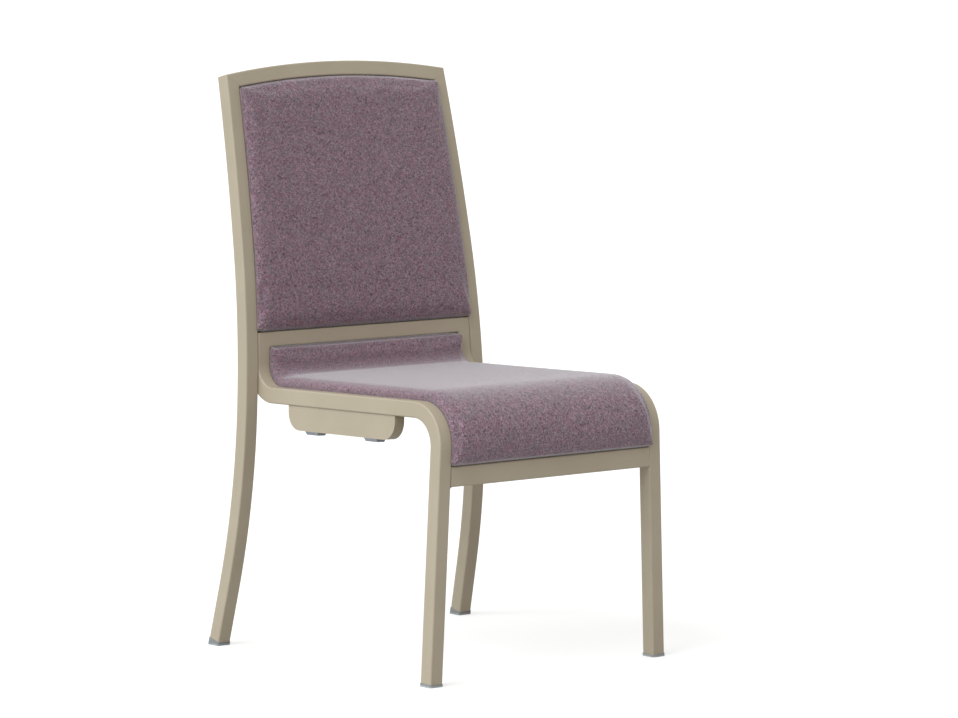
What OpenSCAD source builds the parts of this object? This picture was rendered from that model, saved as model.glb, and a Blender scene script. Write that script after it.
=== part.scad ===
// Stacking chair: bent rectangular tube side frames, crown, middle and front rails,
// an inset upholstered back and a one-piece upholstered seat that rolls over the front.
// Millimetres. X runs across the chair, +Y to the back, +Z up, floor at z = 0.

/* [Tube] */
// Fore and aft depth of the frame tube
tube_d = 25; // [22:0.5:30]
// Sideways width of the frame tube
tube_w = 23.5; // [20:0.5:26]
// Wall thickness of every frame tube
wall = 2; // [1.5:0.25:3]
// Outside corner radius of the frame tube
tube_r = 2.5; // [1.5:0.25:4]

/* [Side frames] */
// Half the width over the rear legs at the floor
foot_half_w = 256; // [215:1:300]
// Inward lean of each side frame in degrees
splay = 2.45; // [1:0.05:4]
// Distance between the front and rear legs at the floor, centre to centre
foot_spacing = 513; // [450:1:580]
// Height of the corner where a back post meets the crown rail
post_top_z = 900; // [780:1:1000]
// Backward slant of the straight rear leg in degrees
rear_leg_slant = 14; // [9:0.5:17]
// Height of the straight lower part of the rear leg
rear_leg_straight = 92; // [60:1:130]
// Radius of the bend in the rear leg
leg_bend_r = 1160; // [950:10:1400]
// Radius of the lower bend of the back post
lumbar_bend_r = 1515; // [1250:5:1850]
// Turn of the lower bend of the back post in degrees
lumbar_turn = 9.7; // [8:0.1:12]
// Radius of the upper bend of the back post
upper_bend_r = 3990; // [3300:10:4800]

/* [Seat rails] */
// Height of the seat rail centre line at the knee
rail_front_z = 414; // [370:1:460]
// Fall of the seat rail toward the back in degrees
rail_slope = 1.6; // [0.5:0.1:4]
// Forward rake of the front leg in degrees
front_rake = 0.8; // [0:0.1:2]
// Centre line radius of the knee above the front leg
knee_r = 54; // [45:1:65]
// Centre line radius of the bend at the back of the seat
rear_r = 47; // [40:1:56]

/* [Cross rails] */
// Height of the middle rail centre line
mid_z = 486; // [462:1:540]
// Rise of the crown rail at the middle of its length
crown_rise = 17; // [8:0.5:30]
// Height of the underside of the front rail
apron_z = 300.5; // [240:0.5:320]
// Height of the front rail section
apron_h = 31; // [25:0.5:42]
// Height of the flat under-seat cross bars
cross_h = 12; // [10:0.5:12.5]
// Width of the flat under-seat cross bars
cross_w = 30; // [24:1:40]
// Distance of each cross bar from its end of the straight seat rail
cross_end = 72; // [40:1:100]

/* [Stacking bars] */
// Length of a stacking bar
bar_len = 269; // [220:1:300]
// Drop of a stacking bar below the seat rail
bar_h = 38; // [30:0.5:50]
// Thickness of a stacking bar
bar_t = 18; // [14:0.5:19]
// Radius of the lower corners of a stacking bar
bar_corner_r = 28; // [16:1:29]
// Distance from the end of the knee to a stacking bar
bar_start = 48; // [30:1:60]
// Length of a rubber bumper
bumper_len = 32; // [24:1:40]
// Depth of a rubber bumper below its bar
bumper_h = 5; // [3:0.5:8]
// Distance of each bumper from its end of the bar
bumper_end = 60; // [46:1:80]
// Slope of each bumper side, measured at its foot
bumper_taper = 2; // [1:0.5:3]
// Diameter of the stem that holds a bumper
stem_d = 6; // [4:0.5:8]

/* [Glides] */
// Thickness of a foot glide below the front edge of its tube
glide_h = 6; // [4:0.5:9]
// Amount a glide stands proud of its tube
glide_proud = 1; // [0.5:0.25:1.5]
// Depth of the glide plug inside its tube
plug_len = 16; // [12:1:24]

/* [Upholstery] */
// Thickness of the formed seat and back boards
board_t = 7; // [6:0.5:9]
// Thickness of the foam on the seat board
seat_foam_t = 16; // [12:0.5:20]
// Thickness of the foam on the back board
back_foam_t = 14; // [10:0.5:18]
// Thickness of the cover fabric
fabric_t = 1; // [0.8:0.1:1.5]
// Gap between the upholstery and the tubes around it
pad_gap = 1; // [0.6:0.1:2]
// Thickness of the panel that closes the back from behind, and of its rim
rear_panel_t = 3; // [2:0.5:4]

/* [Fasteners] */
// Shank diameter of the upholstery screws
screw_d = 5; // [4:0.5:6]
// Head diameter of the upholstery screws
head_d = 10; // [8:0.5:12]
// Head height of the upholstery screws
head_h = 3; // [2:0.5:4]
// Flange diameter of the nuts let into the boards
nut_flange_d = 18; // [15:0.5:22]
// Barrel diameter of the nuts let into the boards
nut_barrel_d = 7; // [6.8:0.1:8.5]
// Thickness of the nut flange
nut_flange_t = 1.2; // [0.8:0.1:2]
// Distance between the two screws in a cross bar
seat_screw_gap = 230; // [160:5:300]
// Thickness of the welded tabs that hold the back
tab_t = 3; // [2:0.5:4]
// Reach of a tab in from its post
tab_reach = 28; // [24:1:40]
// Height of a tab
tab_height = 24; // [18:1:36]
// Distance of the tabs from the lower and upper ends of the back
tab_end = 65; // [40:1:110]
// Distance of a tab's screw from the post
tab_screw_in = 17; // [14:1:18]
// Leg of the weld under each end of the front rail
weld_r = 4; // [2:0.5:6]

/* [Hidden] */
$fn = 48;

// a length well past every face it has to cut
far = 1500;
// small overlap that keeps a cut clear of a shared face
eps = 0.01;
// largest turn between two points of a padded curve, in degrees
curve_step = 7;
// length, height and inner gap of the hairline ring over each joint in a bent tube
ring_len = 0.4;
ring_h = 0.04;
ring_gap = 0.1;
// facets of a full circle on the tight and on the sweeping tube bends
tight_fn = 72;
sweep_fn = 720;
// height of the tube end above the floor at its centre line
rear_cut = (glide_h + tube_d / 2 * sin(rear_leg_slant)) / cos(rear_leg_slant);
front_cut = glide_h / cos(front_rake);

// Paths are lists of steps [length, radius, turn] in the plane of a side frame. A point on a path
// is [y, z, heading], the heading measured from straight up toward the back.
function step_len(st) = st[1] == 0 ? st[0] : st[1] * abs(st[2]) * PI / 180;
function advance(p, st, d) =
    st[1] == 0
    ? [p[0] + d * sin(p[2]), p[1] + d * cos(p[2]), p[2]]
    : let (sg = sign(st[2]), h = p[2] + sg * d / st[1] * 180 / PI)
      [p[0] + sg * st[1] * (cos(p[2]) - cos(h)), p[1] + sg * st[1] * (sin(h) - sin(p[2])), h];
function walk(p, steps, s, i = 0) =
    i == len(steps) - 1 || s <= step_len(steps[i])
    ? advance(p, steps[i], s)
    : walk(advance(p, steps[i], step_len(steps[i])), steps, s - step_len(steps[i]), i + 1);
function run_before(steps, i) = i == 0 ? 0 : run_before(steps, i - 1) + step_len(steps[i - 1]);
// distance along a rising path at which it reaches height z
function reach(p, steps, z, s, tries = 8) =
    let (q = walk(p, steps, s))
    tries == 0 ? s : reach(p, steps, z, s + (z - q[1]) / cos(q[2]), tries - 1);
function stops(steps) =
    [for (i = [0:len(steps) - 1])
        let (n = steps[i][1] == 0 ? 1 : ceil(abs(steps[i][2]) / (steps[i][1] > 200 ? 1.5 : curve_step)))
        for (k = [0:n - 1]) run_before(steps, i) + step_len(steps[i]) * k / n];
function stops_between(steps, a, b) =
    concat([a], [for (s = stops(steps)) if (s > a + 1 && s < b - 1) s], [b]);
// the point at distance n in front of, or above, a path
function beside(p, n) = [p[0] - n * cos(p[2]), p[1] + n * sin(p[2])];

// rear leg and back post, from the floor to past the crown rail
post_start = [foot_spacing, 0, -rear_leg_slant];
post_curve = [[rear_leg_straight / cos(rear_leg_slant), 0, 0],
              [0, leg_bend_r, rear_leg_slant],
              [0, lumbar_bend_r, lumbar_turn]];
upper_run = run_before(post_curve, 3);
// an upper bend drawn far too long, to find where it meets the crown rail
post_long = concat(post_curve, [[0, upper_bend_r, 45]]);
// plane height of the front outer corner of the post top, and the centre line point behind it
corner_plane_z = post_top_z / cos(splay);
corner_lean = walk(post_start, post_long, reach(post_start, post_long, corner_plane_z, upper_run))[2];
mitre_run = reach(post_start, post_long, corner_plane_z - tube_d / 2 * sin(corner_lean), upper_run);
post_mitre = walk(post_start, post_long, mitre_run);
top_lean = post_mitre[2];
post_steps = concat(post_curve,
                    [[0, upper_bend_r, (mitre_run + tube_w - upper_run) / upper_bend_r * 180 / PI]]);

// where the middle rail crosses the post, on the centre line of both
mid_plane_z = mid_z / cos(splay);
mid_point = walk(post_start, post_steps, reach(post_start, post_steps, mid_plane_z, mid_plane_z));
mid_lean = mid_point[2] / 2;

// front leg, seat rail and upright, from the floor to past the middle rail
knee_z = rail_front_z / cos(splay) - knee_r * (1 + sin(front_rake));
leg_len = knee_z / cos(front_rake);
knee_turn = 90 + rail_slope + front_rake;
rear_turn = 90 + rail_slope - mid_lean;
rail_start = [0, 0, -front_rake];
knee_steps = [[leg_len, 0, 0], [0, knee_r, knee_turn]];
knee_end = walk(rail_start, knee_steps, run_before(knee_steps, 1) + step_len(knee_steps[1]));
// the end of the rear bend seen from its start, then the rail and upright lengths that bring the
// upright to the middle rail
bend_end = walk([0, 0, 90 + rail_slope], [[0, rear_r, -rear_turn]], rear_r * rear_turn * PI / 180);
rail_dir = 90 + rail_slope;
function upright_rise(length) = mid_point[1] - knee_end[1] - length * cos(rail_dir) - bend_end[1];
function rail_reach(length) =
    knee_end[0] + length * sin(rail_dir) + bend_end[0] + upright_rise(length) * tan(mid_lean);
rail_guess = mid_point[0] - knee_end[0] - bend_end[0];
rail_slip = mid_point[0] - rail_reach(rail_guess);
rail_len = rail_guess + rail_slip / (sin(rail_dir) - cos(rail_dir) * tan(mid_lean));
upright_len = upright_rise(rail_len) / cos(mid_lean);
rail_steps = [[leg_len, 0, 0],
              [0, knee_r, knee_turn],
              [rail_len, 0, 0],
              [0, rear_r, -rear_turn],
              [upright_len + tube_w, 0, 0]];
rail_run = run_before(rail_steps, 2);
upright_run = run_before(rail_steps, 4);

// layers of the seat measured from the rail centre line, from the cross bars up
seat_board_n = cross_h - tube_d / 2;
seat_foam_n = seat_board_n + board_t;
seat_cover_n = seat_foam_n + seat_foam_t;
seat_top_n = seat_cover_n + fabric_t;
// layers of the back measured from the post centre line; the cover stands as far out as the seat
back_cover_n = seat_cover_n;
back_top_n = back_cover_n + fabric_t;
back_foam_n = back_cover_n - back_foam_t;
back_board_n = back_foam_n - board_t;
// gap that keeps the flat tabs off the curved back board
tab_gap = 0.3;
tab_n = back_board_n - tab_gap;
rear_panel_n = 1 - tube_d / 2;

// width inside the frame, and the run of each upholstered panel along its path
rail_inset = 2 * tube_w + pad_gap;
post_inset = tube_w + pad_gap;
apron_top = apron_z + apron_h;
seat_s0 = reach(rail_start, rail_steps, (apron_top + pad_gap) / cos(splay), apron_top);
seat_s1 = reach(rail_start, rail_steps, (mid_z - tube_w / 2 - pad_gap) / cos(splay), upright_run);
back_s0 = reach(post_start, post_steps, (mid_z + tube_w / 2 + pad_gap) / cos(splay), mid_z);
back_s1 = mitre_run + crown_rise;

// crown rail circle in the plane of the top of the back
top_half_w = foot_half_w - corner_plane_z * sin(splay);
crown_r = (top_half_w * top_half_w + crown_rise * crown_rise) / (2 * crown_rise);
crown_inner_r = crown_r - tube_w;
crown_centre = crown_rise - crown_r;
crown_in_x = top_half_w - tube_w;
crown_in_v = crown_centre + sqrt(crown_inner_r * crown_inner_r - crown_in_x * crown_in_x);

// middle rail mitre, outer corner above and inner corner below
mid_out_x = foot_half_w - tube_w * cos(splay) - (mid_plane_z + tube_w / 2) * sin(splay);
mid_in_x = foot_half_w - 2 * tube_w * cos(splay) - (mid_plane_z - tube_w / 2) * sin(splay);

// front and back extremes, which set the middle of the depth
front_y = walk(rail_start, rail_steps, leg_len)[0] - knee_r * (1 - cos(front_rake)) - seat_top_n;
rear_y = post_mitre[0] + tube_d / 2 * cos(top_lean) + crown_rise * sin(top_lean);
mid_y = (front_y + rear_y) / 2;

// stations of the cross bars, tabs and bumpers
cross_at = [rail_run + cross_end, rail_run + rail_len - cross_end];
screw_xs = [-seat_screw_gap / 2, seat_screw_gap / 2];
tab_at = [back_s0 + tab_end, back_s1 - tab_end];
bumper_at = [bumper_end, bar_len - bumper_end];
clear_hole = screw_d + 0.5;
nut_bore = screw_d + 0.1;

function rounded(w, d, r, n = 4) =
    [for (q = [0:3]) for (k = [0:n])
        let (a = q * 90 + k * 90 / n, sx = (q == 0 || q == 3) ? 1 : -1, sy = q < 2 ? 1 : -1)
        [sx * (w / 2 - r) + r * cos(a), sy * (d / 2 - r) + r * sin(a)]];

// ---- frames of reference ----

module place() {
    translate([0, -mid_y, 0]) children();
}

// the leaning plane of a side frame: x = 0 is its outer face and -x points into the chair
module side(s) {
    mirror([s < 0 ? 1 : 0, 0, 0])
    translate([foot_half_w, 0, 0])
    rotate([0, -splay, 0])
    children();
}

// a point of a path: z runs along the path and -y points out of its front or upper face
module on_path(p) {
    translate([0, p[0], p[1]]) rotate([-p[2], 0, 0]) children();
}

// the same point brought to the middle of the chair
module on_centre(p) {
    on_path([p[0], p[1] * cos(splay), p[2]]) children();
}

module across(length) {
    rotate([0, 90, 0]) linear_extrude(length, center = true) children();
}

// everything between the two side frames, a given distance in from their outer faces
module inside_frame(inset) {
    top = post_top_z * 1.2;
    half_0 = foot_half_w - inset / cos(splay);
    half_1 = half_0 - top * tan(splay);
    rotate([90, 0, 0])
    linear_extrude(far * 2, center = true)
    polygon([[-half_0, 0], [half_0, 0], [half_1, top], [-half_1, top]]);
}

// ---- tubes ----

module tube_section(w = tube_w, d = tube_d, r = tube_r) {
    difference() {
        polygon(rounded(w, d, r));
        square([w - 2 * wall, d - 2 * wall], center = true);
    }
}

module tube_bend(r, turn) {
    mirror([0, turn < 0 ? 1 : 0, 0])
    translate([0, r, 0])
    rotate([90, 0, -90])
    rotate_extrude(angle = abs(turn), $fn = r > 200 ? sweep_fn : tight_fn)
    translate([r, 0])
    rotate(90)
    tube_section();
}

// a hairline ring over the joint between two lengths of one tube, which makes them a single solid
module joint_ring() {
    translate([0, 0, -ring_len / 2])
    linear_extrude(ring_len)
    difference() {
        polygon(rounded(tube_w + 2 * ring_h, tube_d + 2 * ring_h, tube_r + ring_h));
        square([tube_w - 2 * (wall + ring_h), tube_d - 2 * (wall + ring_h)], center = true);
    }
}

// one tube swept along its steps, each step carrying on from the end of the last and stopping a
// hairline short of the next, inside the ring
module tube_run(steps, i = 0) {
    if (i < len(steps)) {
        r = steps[i][1];
        turn = steps[i][2];
        if (i > 0) joint_ring();
        if (r == 0) {
            linear_extrude(steps[i][0] - ring_gap) tube_section();
            translate([0, 0, steps[i][0]]) tube_run(steps, i + 1);
        } else {
            tube_bend(r, turn - sign(turn) * ring_gap / r * 180 / PI);
            translate([0, sign(turn) * r * (1 - cos(turn)), r * sin(abs(turn))])
            rotate([-turn, 0, 0])
            tube_run(steps, i + 1);
        }
    }
}

// the first step shortened by the height of the cut above the floor
function cut_first(steps, cut) =
    [for (i = [0:len(steps) - 1]) i == 0 ? [steps[0][0] - cut, 0, 0] : steps[i]];

// the part of a plane that belongs to a cross rail, bounded by its two mitres
module mitre_zone(out_x, out_v, in_x, in_v) {
    dx = out_x - in_x;
    dv = out_v - in_v;
    top_v = out_v + dv + crown_rise + tube_w;
    rotate([90, 0, 0])
    linear_extrude(far, center = true)
    polygon([[out_x + dx, out_v + dv], [in_x - dx, in_v - dv], [dx - in_x, in_v - dv],
             [-out_x - dx, out_v + dv], [-out_x - dx, top_v], [out_x + dx, top_v]]);
}

module crown_zone() {
    on_centre(post_mitre)
    mitre_zone(top_half_w, 0, crown_in_x, crown_in_v);
}

module mid_zone() {
    on_centre([mid_point[0], mid_point[1], mid_lean])
    mitre_zone(mid_out_x, tube_w / 2, mid_in_x, -tube_w / 2);
}

module post(s) {
    difference() {
        side(s)
        translate([-tube_w / 2, 0, 0])
        on_path(post_start)
        translate([0, 0, rear_cut])
        tube_run(cut_first(post_steps, rear_cut));
        crown_zone();
    }
}

module side_rail(s) {
    difference() {
        side(s)
        translate([-tube_w * 3 / 2, 0, 0])
        on_path(rail_start)
        translate([0, 0, front_cut])
        tube_run(cut_first(rail_steps, front_cut));
        mid_zone();
    }
}

// ---- cross rails ----

module crown_arc() {
    half_turn = asin(top_half_w / crown_r) + 1;
    intersection() {
        on_centre(post_mitre)
        translate([0, 0, crown_centre])
        rotate([90, 0, 0])
        rotate(90 - half_turn)
        rotate_extrude(angle = 2 * half_turn, $fn = sweep_fn)
        translate([crown_r - tube_w / 2, 0])
        tube_section();
        crown_zone();
    }
}

module mid_bar() {
    intersection() {
        on_centre([mid_point[0], mid_point[1], mid_lean])
        across(2 * foot_half_w)
        tube_section();
        mid_zone();
    }
}

module apron_bar() {
    centre_z = (apron_z + apron_h / 2) / cos(splay);
    p = walk(rail_start, rail_steps, reach(rail_start, rail_steps, centre_z, centre_z));
    intersection() {
        on_centre(p)
        translate([0, (tube_w - tube_d) / 2, 0])
        across(2 * foot_half_w)
        tube_section(apron_h, tube_w);
        inside_frame(2 * tube_w);
    }
}

module apron_welds() {
    y0 = walk(rail_start, rail_steps, apron_z)[0] - tube_d / 2 + tube_r;
    depth = tube_w - 2 * tube_r;
    for (s = [-1, 1]) {
        mirror([s < 0 ? 1 : 0, 0, 0])
        intersection() {
            translate([foot_half_w - 2 * tube_w - apron_z * sin(splay) - weld_r, y0, apron_z - weld_r])
            difference() {
                cube([weld_r * 2, depth, weld_r - 0.1]);
                translate([0, depth / 2, 0])
                rotate([90, 0, 0])
                cylinder(r = weld_r * 0.9, h = depth * 2, center = true);
            }
            inside_frame(2 * tube_w);
        }
    }
}

module cross_bar(s) {
    intersection() {
        on_centre(walk(rail_start, rail_steps, s))
        translate([0, (tube_d - cross_h) / 2, 0])
        difference() {
            rotate([0, 90, 0])
            linear_extrude(2 * foot_half_w, center = true)
            difference() {
                polygon(rounded(cross_w, cross_h, tube_r));
                square([cross_w - 2 * wall, cross_h - 2 * wall], center = true);
            }
            for (x = screw_xs) {
                translate([x, 0, 0])
                rotate([90, 0, 0])
                cylinder(d = clear_hole, h = cross_h * 2, center = true);
            }
        }
        inside_frame(2 * tube_w);
    }
}

// ---- stacking bars ----

function bar_outline(inset) =
    let (r = bar_corner_r - inset, x1 = bar_len - inset, y1 = bar_h - inset)
    concat([[inset, inset == 0 ? 0 : -1], [x1, inset == 0 ? 0 : -1]],
           [for (k = [0:8]) [x1 - r + r * cos(k * 90 / 8), y1 - r + r * sin(k * 90 / 8)]],
           [for (k = [0:8]) [inset + r - r * sin(k * 90 / 8), y1 - r + r * cos(k * 90 / 8)]]);

// the underside of the seat rail of one side, x across the rail, y down, z back along the rail
module under_rail(s) {
    side(s)
    translate([-tube_w * 3 / 2, 0, 0])
    on_path(walk(rail_start, rail_steps, rail_run + bar_start))
    translate([0, tube_d / 2, 0])
    children();
}

module stacking_bar(s) {
    under_rail(s)
    difference() {
        rotate([0, -90, 0]) linear_extrude(bar_t, center = true) polygon(bar_outline(0));
        rotate([0, -90, 0]) linear_extrude(bar_t - 2 * wall, center = true) polygon(bar_outline(wall));
        for (at = bumper_at) {
            translate([0, bar_h, at])
            rotate([90, 0, 0])
            cylinder(d = stem_d, h = 3 * wall, center = true);
        }
    }
}

module bumpers(s) {
    half_l = bumper_len / 2;
    half_w = bar_t / 2;
    under_rail(s)
    for (at = bumper_at) {
        translate([0, bar_h, at]) {
            intersection() {
                rotate([0, -90, 0])
                linear_extrude(bar_t, center = true)
                polygon([[-half_l, 0], [half_l, 0], [half_l - bumper_taper, bumper_h],
                         [bumper_taper - half_l, bumper_h]]);
                linear_extrude(bumper_len, center = true)
                polygon([[-half_w, 0], [half_w, 0], [half_w - bumper_taper, bumper_h],
                         [bumper_taper - half_w, bumper_h]]);
            }
            translate([0, 1 - wall, 0])
            rotate([90, 0, 0])
            cylinder(d = stem_d, h = 2 + wall, center = true);
        }
    }
}

// ---- glides ----

module glide(s, offset_x, start, cut) {
    difference() {
        side(s)
        translate([-offset_x, 0, 0])
        on_path(start) {
            translate([0, 0, -tube_d / 2])
            linear_extrude(cut + tube_d / 2)
            polygon(rounded(tube_w + 2 * glide_proud, tube_d + 2 * glide_proud, tube_r + glide_proud));
            translate([0, 0, cut])
            linear_extrude(plug_len)
            square([tube_w - 2 * wall - 0.4, tube_d - 2 * wall - 0.4], center = true);
        }
        translate([-far / 2, -far / 2, -far]) cube(far);
    }
}

// ---- upholstery ----

// a panel that follows a path, from distance s0 to s1 along it and from n0 to n1 off it
module panel(start, steps, s0, s1, n0, n1) {
    at = stops_between(steps, s0, s1);
    low = [for (s = at) beside(walk(start, steps, s), n0)];
    high = [for (i = [len(at) - 1:-1:0]) beside(walk(start, steps, at[i]), n1)];
    rotate([90, 0, 90])
    linear_extrude(2 * foot_half_w, center = true)
    polygon([for (q = concat(low, high)) [q[0], q[1] * cos(splay)]]);
}

module seat_layer(n0, n1, margin) {
    intersection() {
        panel(rail_start, rail_steps, seat_s0 + margin, seat_s1 - margin, n0, n1);
        inside_frame(rail_inset + margin);
    }
}

module back_layer(n0, n1, margin) {
    intersection() {
        panel(post_start, post_steps, back_s0 + margin, back_s1, n0, n1);
        inside_frame(post_inset + margin);
        on_centre(post_mitre)
        translate([0, 0, crown_centre])
        rotate([90, 0, 0])
        cylinder(r = crown_inner_r - pad_gap - margin, h = 4 * tube_d, center = true, $fn = sweep_fn);
    }
}

// fixing points, each with y = 0 on the rear or lower face of its board and -y into the board
module seat_fixings() {
    for (s = cross_at) {
        on_centre(walk(rail_start, rail_steps, s))
        for (x = screw_xs) {
            translate([x, -seat_board_n, 0]) children();
        }
    }
}

module back_fixings() {
    for (s = [-1, 1]) {
        side(s)
        for (at = tab_at) {
            on_path(walk(post_start, post_steps, at))
            translate([-tube_w - tab_screw_in, -back_board_n, 0])
            children();
        }
    }
}

module nut_space(extra) {
    rotate([90, 0, 0]) {
        translate([0, 0, -1]) cylinder(d = nut_barrel_d, h = board_t + 1 + extra);
        translate([0, 0, board_t - nut_flange_t]) cylinder(d = nut_flange_d, h = nut_flange_t + extra);
    }
}

module nut() {
    rotate([90, 0, 0])
    difference() {
        union() {
            translate([0, 0, 0.5]) cylinder(d = nut_barrel_d, h = board_t - 0.5 - nut_flange_t / 2);
            translate([0, 0, board_t - nut_flange_t]) cylinder(d = nut_flange_d, h = nut_flange_t - 0.1);
        }
        cylinder(d = nut_bore, h = board_t * 3, center = true);
    }
}

// a screw whose head bears on a part of the given thickness under the board
module screw(under) {
    rotate([90, 0, 0])
    translate([0, 0, -under]) {
        translate([0, 0, -head_h]) cylinder(d = head_d, h = head_h);
        translate([0, 0, -eps]) cylinder(d = screw_d, h = under + board_t - 0.4);
    }
}

// the four tabs, grown by a margin on every side
module tabs(margin) {
    for (s = [-1, 1]) {
        side(s)
        for (at = tab_at) {
            on_path(walk(post_start, post_steps, at))
            translate([-tube_w - tab_reach - margin, -tab_n - margin, -tab_height / 2 - margin])
            cube([tab_reach + 2 * margin, tab_t + 2 * margin, tab_height + 2 * margin]);
        }
    }
}

// ---- nodes ----

module post_left() {
    color([0.74, 0.70, 0.60]) place() post(-1);
}

module post_right() {
    color([0.74, 0.70, 0.60]) place() post(1);
}

module side_rail_left() {
    color([0.74, 0.70, 0.60]) place() side_rail(-1);
}

module side_rail_right() {
    color([0.74, 0.70, 0.60]) place() side_rail(1);
}

module crown_rail() {
    color([0.74, 0.70, 0.60]) place() crown_arc();
}

module middle_rail() {
    color([0.74, 0.70, 0.60]) place() mid_bar();
}

module front_rail() {
    color([0.74, 0.70, 0.60]) place() apron_bar();
}

module front_rail_welds() {
    color([0.74, 0.70, 0.60]) place() apron_welds();
}

module cross_bar_front() {
    color([0.74, 0.70, 0.60]) place() cross_bar(cross_at[0]);
}

module cross_bar_rear() {
    color([0.74, 0.70, 0.60]) place() cross_bar(cross_at[1]);
}

module stacking_bar_left() {
    color([0.74, 0.70, 0.60]) place() stacking_bar(-1);
}

module stacking_bar_right() {
    color([0.74, 0.70, 0.60]) place() stacking_bar(1);
}

module bumpers_left() {
    color([0.55, 0.57, 0.60]) place() bumpers(-1);
}

module bumpers_right() {
    color([0.55, 0.57, 0.60]) place() bumpers(1);
}

module glide_front_left() {
    color([0.55, 0.57, 0.60]) place() glide(-1, tube_w * 3 / 2, rail_start, front_cut);
}

module glide_front_right() {
    color([0.55, 0.57, 0.60]) place() glide(1, tube_w * 3 / 2, rail_start, front_cut);
}

module glide_rear_left() {
    color([0.55, 0.57, 0.60]) place() glide(-1, tube_w / 2, post_start, rear_cut);
}

module glide_rear_right() {
    color([0.55, 0.57, 0.60]) place() glide(1, tube_w / 2, post_start, rear_cut);
}

module seat_board() {
    color([0.80, 0.65, 0.45])
    place()
    difference() {
        seat_layer(seat_board_n, seat_foam_n, fabric_t);
        seat_fixings() nut_space(1);
    }
}

module seat_foam() {
    color([0.93, 0.90, 0.78]) place() seat_layer(seat_foam_n, seat_cover_n, fabric_t);
}

module seat_cover() {
    color([0.55, 0.45, 0.52])
    place()
    difference() {
        seat_layer(seat_board_n, seat_top_n, 0);
        seat_layer(seat_board_n - 1, seat_cover_n, fabric_t);
    }
}

module back_board() {
    color([0.80, 0.65, 0.45])
    place()
    difference() {
        back_layer(back_board_n, back_foam_n, fabric_t);
        back_fixings() nut_space(1);
    }
}

module back_foam() {
    color([0.93, 0.90, 0.78]) place() back_layer(back_foam_n, back_cover_n, fabric_t);
}

module back_cover() {
    color([0.55, 0.45, 0.52])
    place()
    difference() {
        back_layer(back_board_n, back_top_n, 0);
        back_layer(back_board_n - 1, back_cover_n, fabric_t);
    }
}

// a shallow tray whose rim meets the rear of the back board, notched for the tabs
module back_rear_panel() {
    color([0.55, 0.45, 0.52])
    place()
    difference() {
        back_layer(rear_panel_n, back_board_n, 0);
        back_layer(rear_panel_n + rear_panel_t, back_board_n + 1, rear_panel_t);
        tabs(1);
    }
}

module back_tabs() {
    color([0.74, 0.70, 0.60])
    place()
    difference() {
        tabs(0);
        back_fixings()
        rotate([90, 0, 0])
        cylinder(d = clear_hole, h = 6 * tab_t, center = true);
    }
}

module seat_screws() {
    color([0.60, 0.60, 0.62]) place() seat_fixings() screw(cross_h);
}

module seat_nuts() {
    color([0.60, 0.60, 0.62]) place() seat_fixings() nut();
}

module back_screws() {
    color([0.60, 0.60, 0.62]) place() back_fixings() screw(tab_t + tab_gap);
}

module back_nuts() {
    color([0.60, 0.60, 0.62]) place() back_fixings() nut();
}

post_left();
post_right();
side_rail_left();
side_rail_right();
crown_rail();
middle_rail();
front_rail();
cross_bar_front();
cross_bar_rear();
stacking_bar_left();
stacking_bar_right();
bumpers_left();
bumpers_right();
glide_front_left();
glide_front_right();
glide_rear_left();
glide_rear_right();
seat_board();
seat_foam();
seat_cover();
back_board();
back_foam();
back_cover();
back_rear_panel();
back_tabs();
seat_screws();
seat_nuts();
back_screws();
back_nuts();
front_rail_welds();
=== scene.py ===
"""A stacking chair: its coated tube frame, glides, boards and upholstery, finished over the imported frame."""
from math import cos, radians, sin, sqrt, tan

import bmesh
import bpy
from mathutils import Matrix, Vector


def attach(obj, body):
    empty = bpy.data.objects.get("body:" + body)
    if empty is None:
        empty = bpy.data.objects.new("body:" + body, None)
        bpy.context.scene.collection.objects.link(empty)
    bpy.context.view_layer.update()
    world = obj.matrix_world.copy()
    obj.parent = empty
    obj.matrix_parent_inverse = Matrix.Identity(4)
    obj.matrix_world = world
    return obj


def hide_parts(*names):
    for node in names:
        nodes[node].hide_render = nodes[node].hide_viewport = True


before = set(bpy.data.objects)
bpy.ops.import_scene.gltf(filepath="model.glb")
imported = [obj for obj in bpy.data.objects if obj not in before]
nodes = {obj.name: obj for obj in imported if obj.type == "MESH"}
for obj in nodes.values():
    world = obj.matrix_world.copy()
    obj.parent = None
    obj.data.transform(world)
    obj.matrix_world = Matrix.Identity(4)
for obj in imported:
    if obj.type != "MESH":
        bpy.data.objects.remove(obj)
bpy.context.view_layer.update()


# ---- Coated frame ----
# Bent and welded rectangular aluminium tube, ground smooth at the mitres and powder coated in a satin
# champagne beige: posts, side rails, crown, middle and front rails, cross bars, stacking bars and tabs.

def shader_group(name, inputs, outputs):
    """A new shader node group with its named sockets, and the nodes that stand at its two ends."""
    group = bpy.data.node_groups.new(name, "ShaderNodeTree")
    for label, kind, value in inputs:
        socket = group.interface.new_socket(label, in_out="INPUT", socket_type="NodeSocket" + kind)
        if value is not None:
            socket.default_value = value
    for label, kind in outputs:
        group.interface.new_socket(label, in_out="OUTPUT", socket_type="NodeSocket" + kind)
    return group, group.nodes.new("NodeGroupInput"), group.nodes.new("NodeGroupOutput")


def put(tree, kind, wires=None, **settings):
    """A shader node with its settings, and its inputs set to a value or wired to another socket."""
    node = tree.nodes.new("ShaderNode" + kind)
    for key, value in settings.items():
        setattr(node, key, value)
    for key, value in (wires or {}).items():
        if isinstance(value, bpy.types.NodeSocket):
            tree.links.new(value, node.inputs[key])
        else:
            node.inputs[key].default_value = value
    return node


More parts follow.
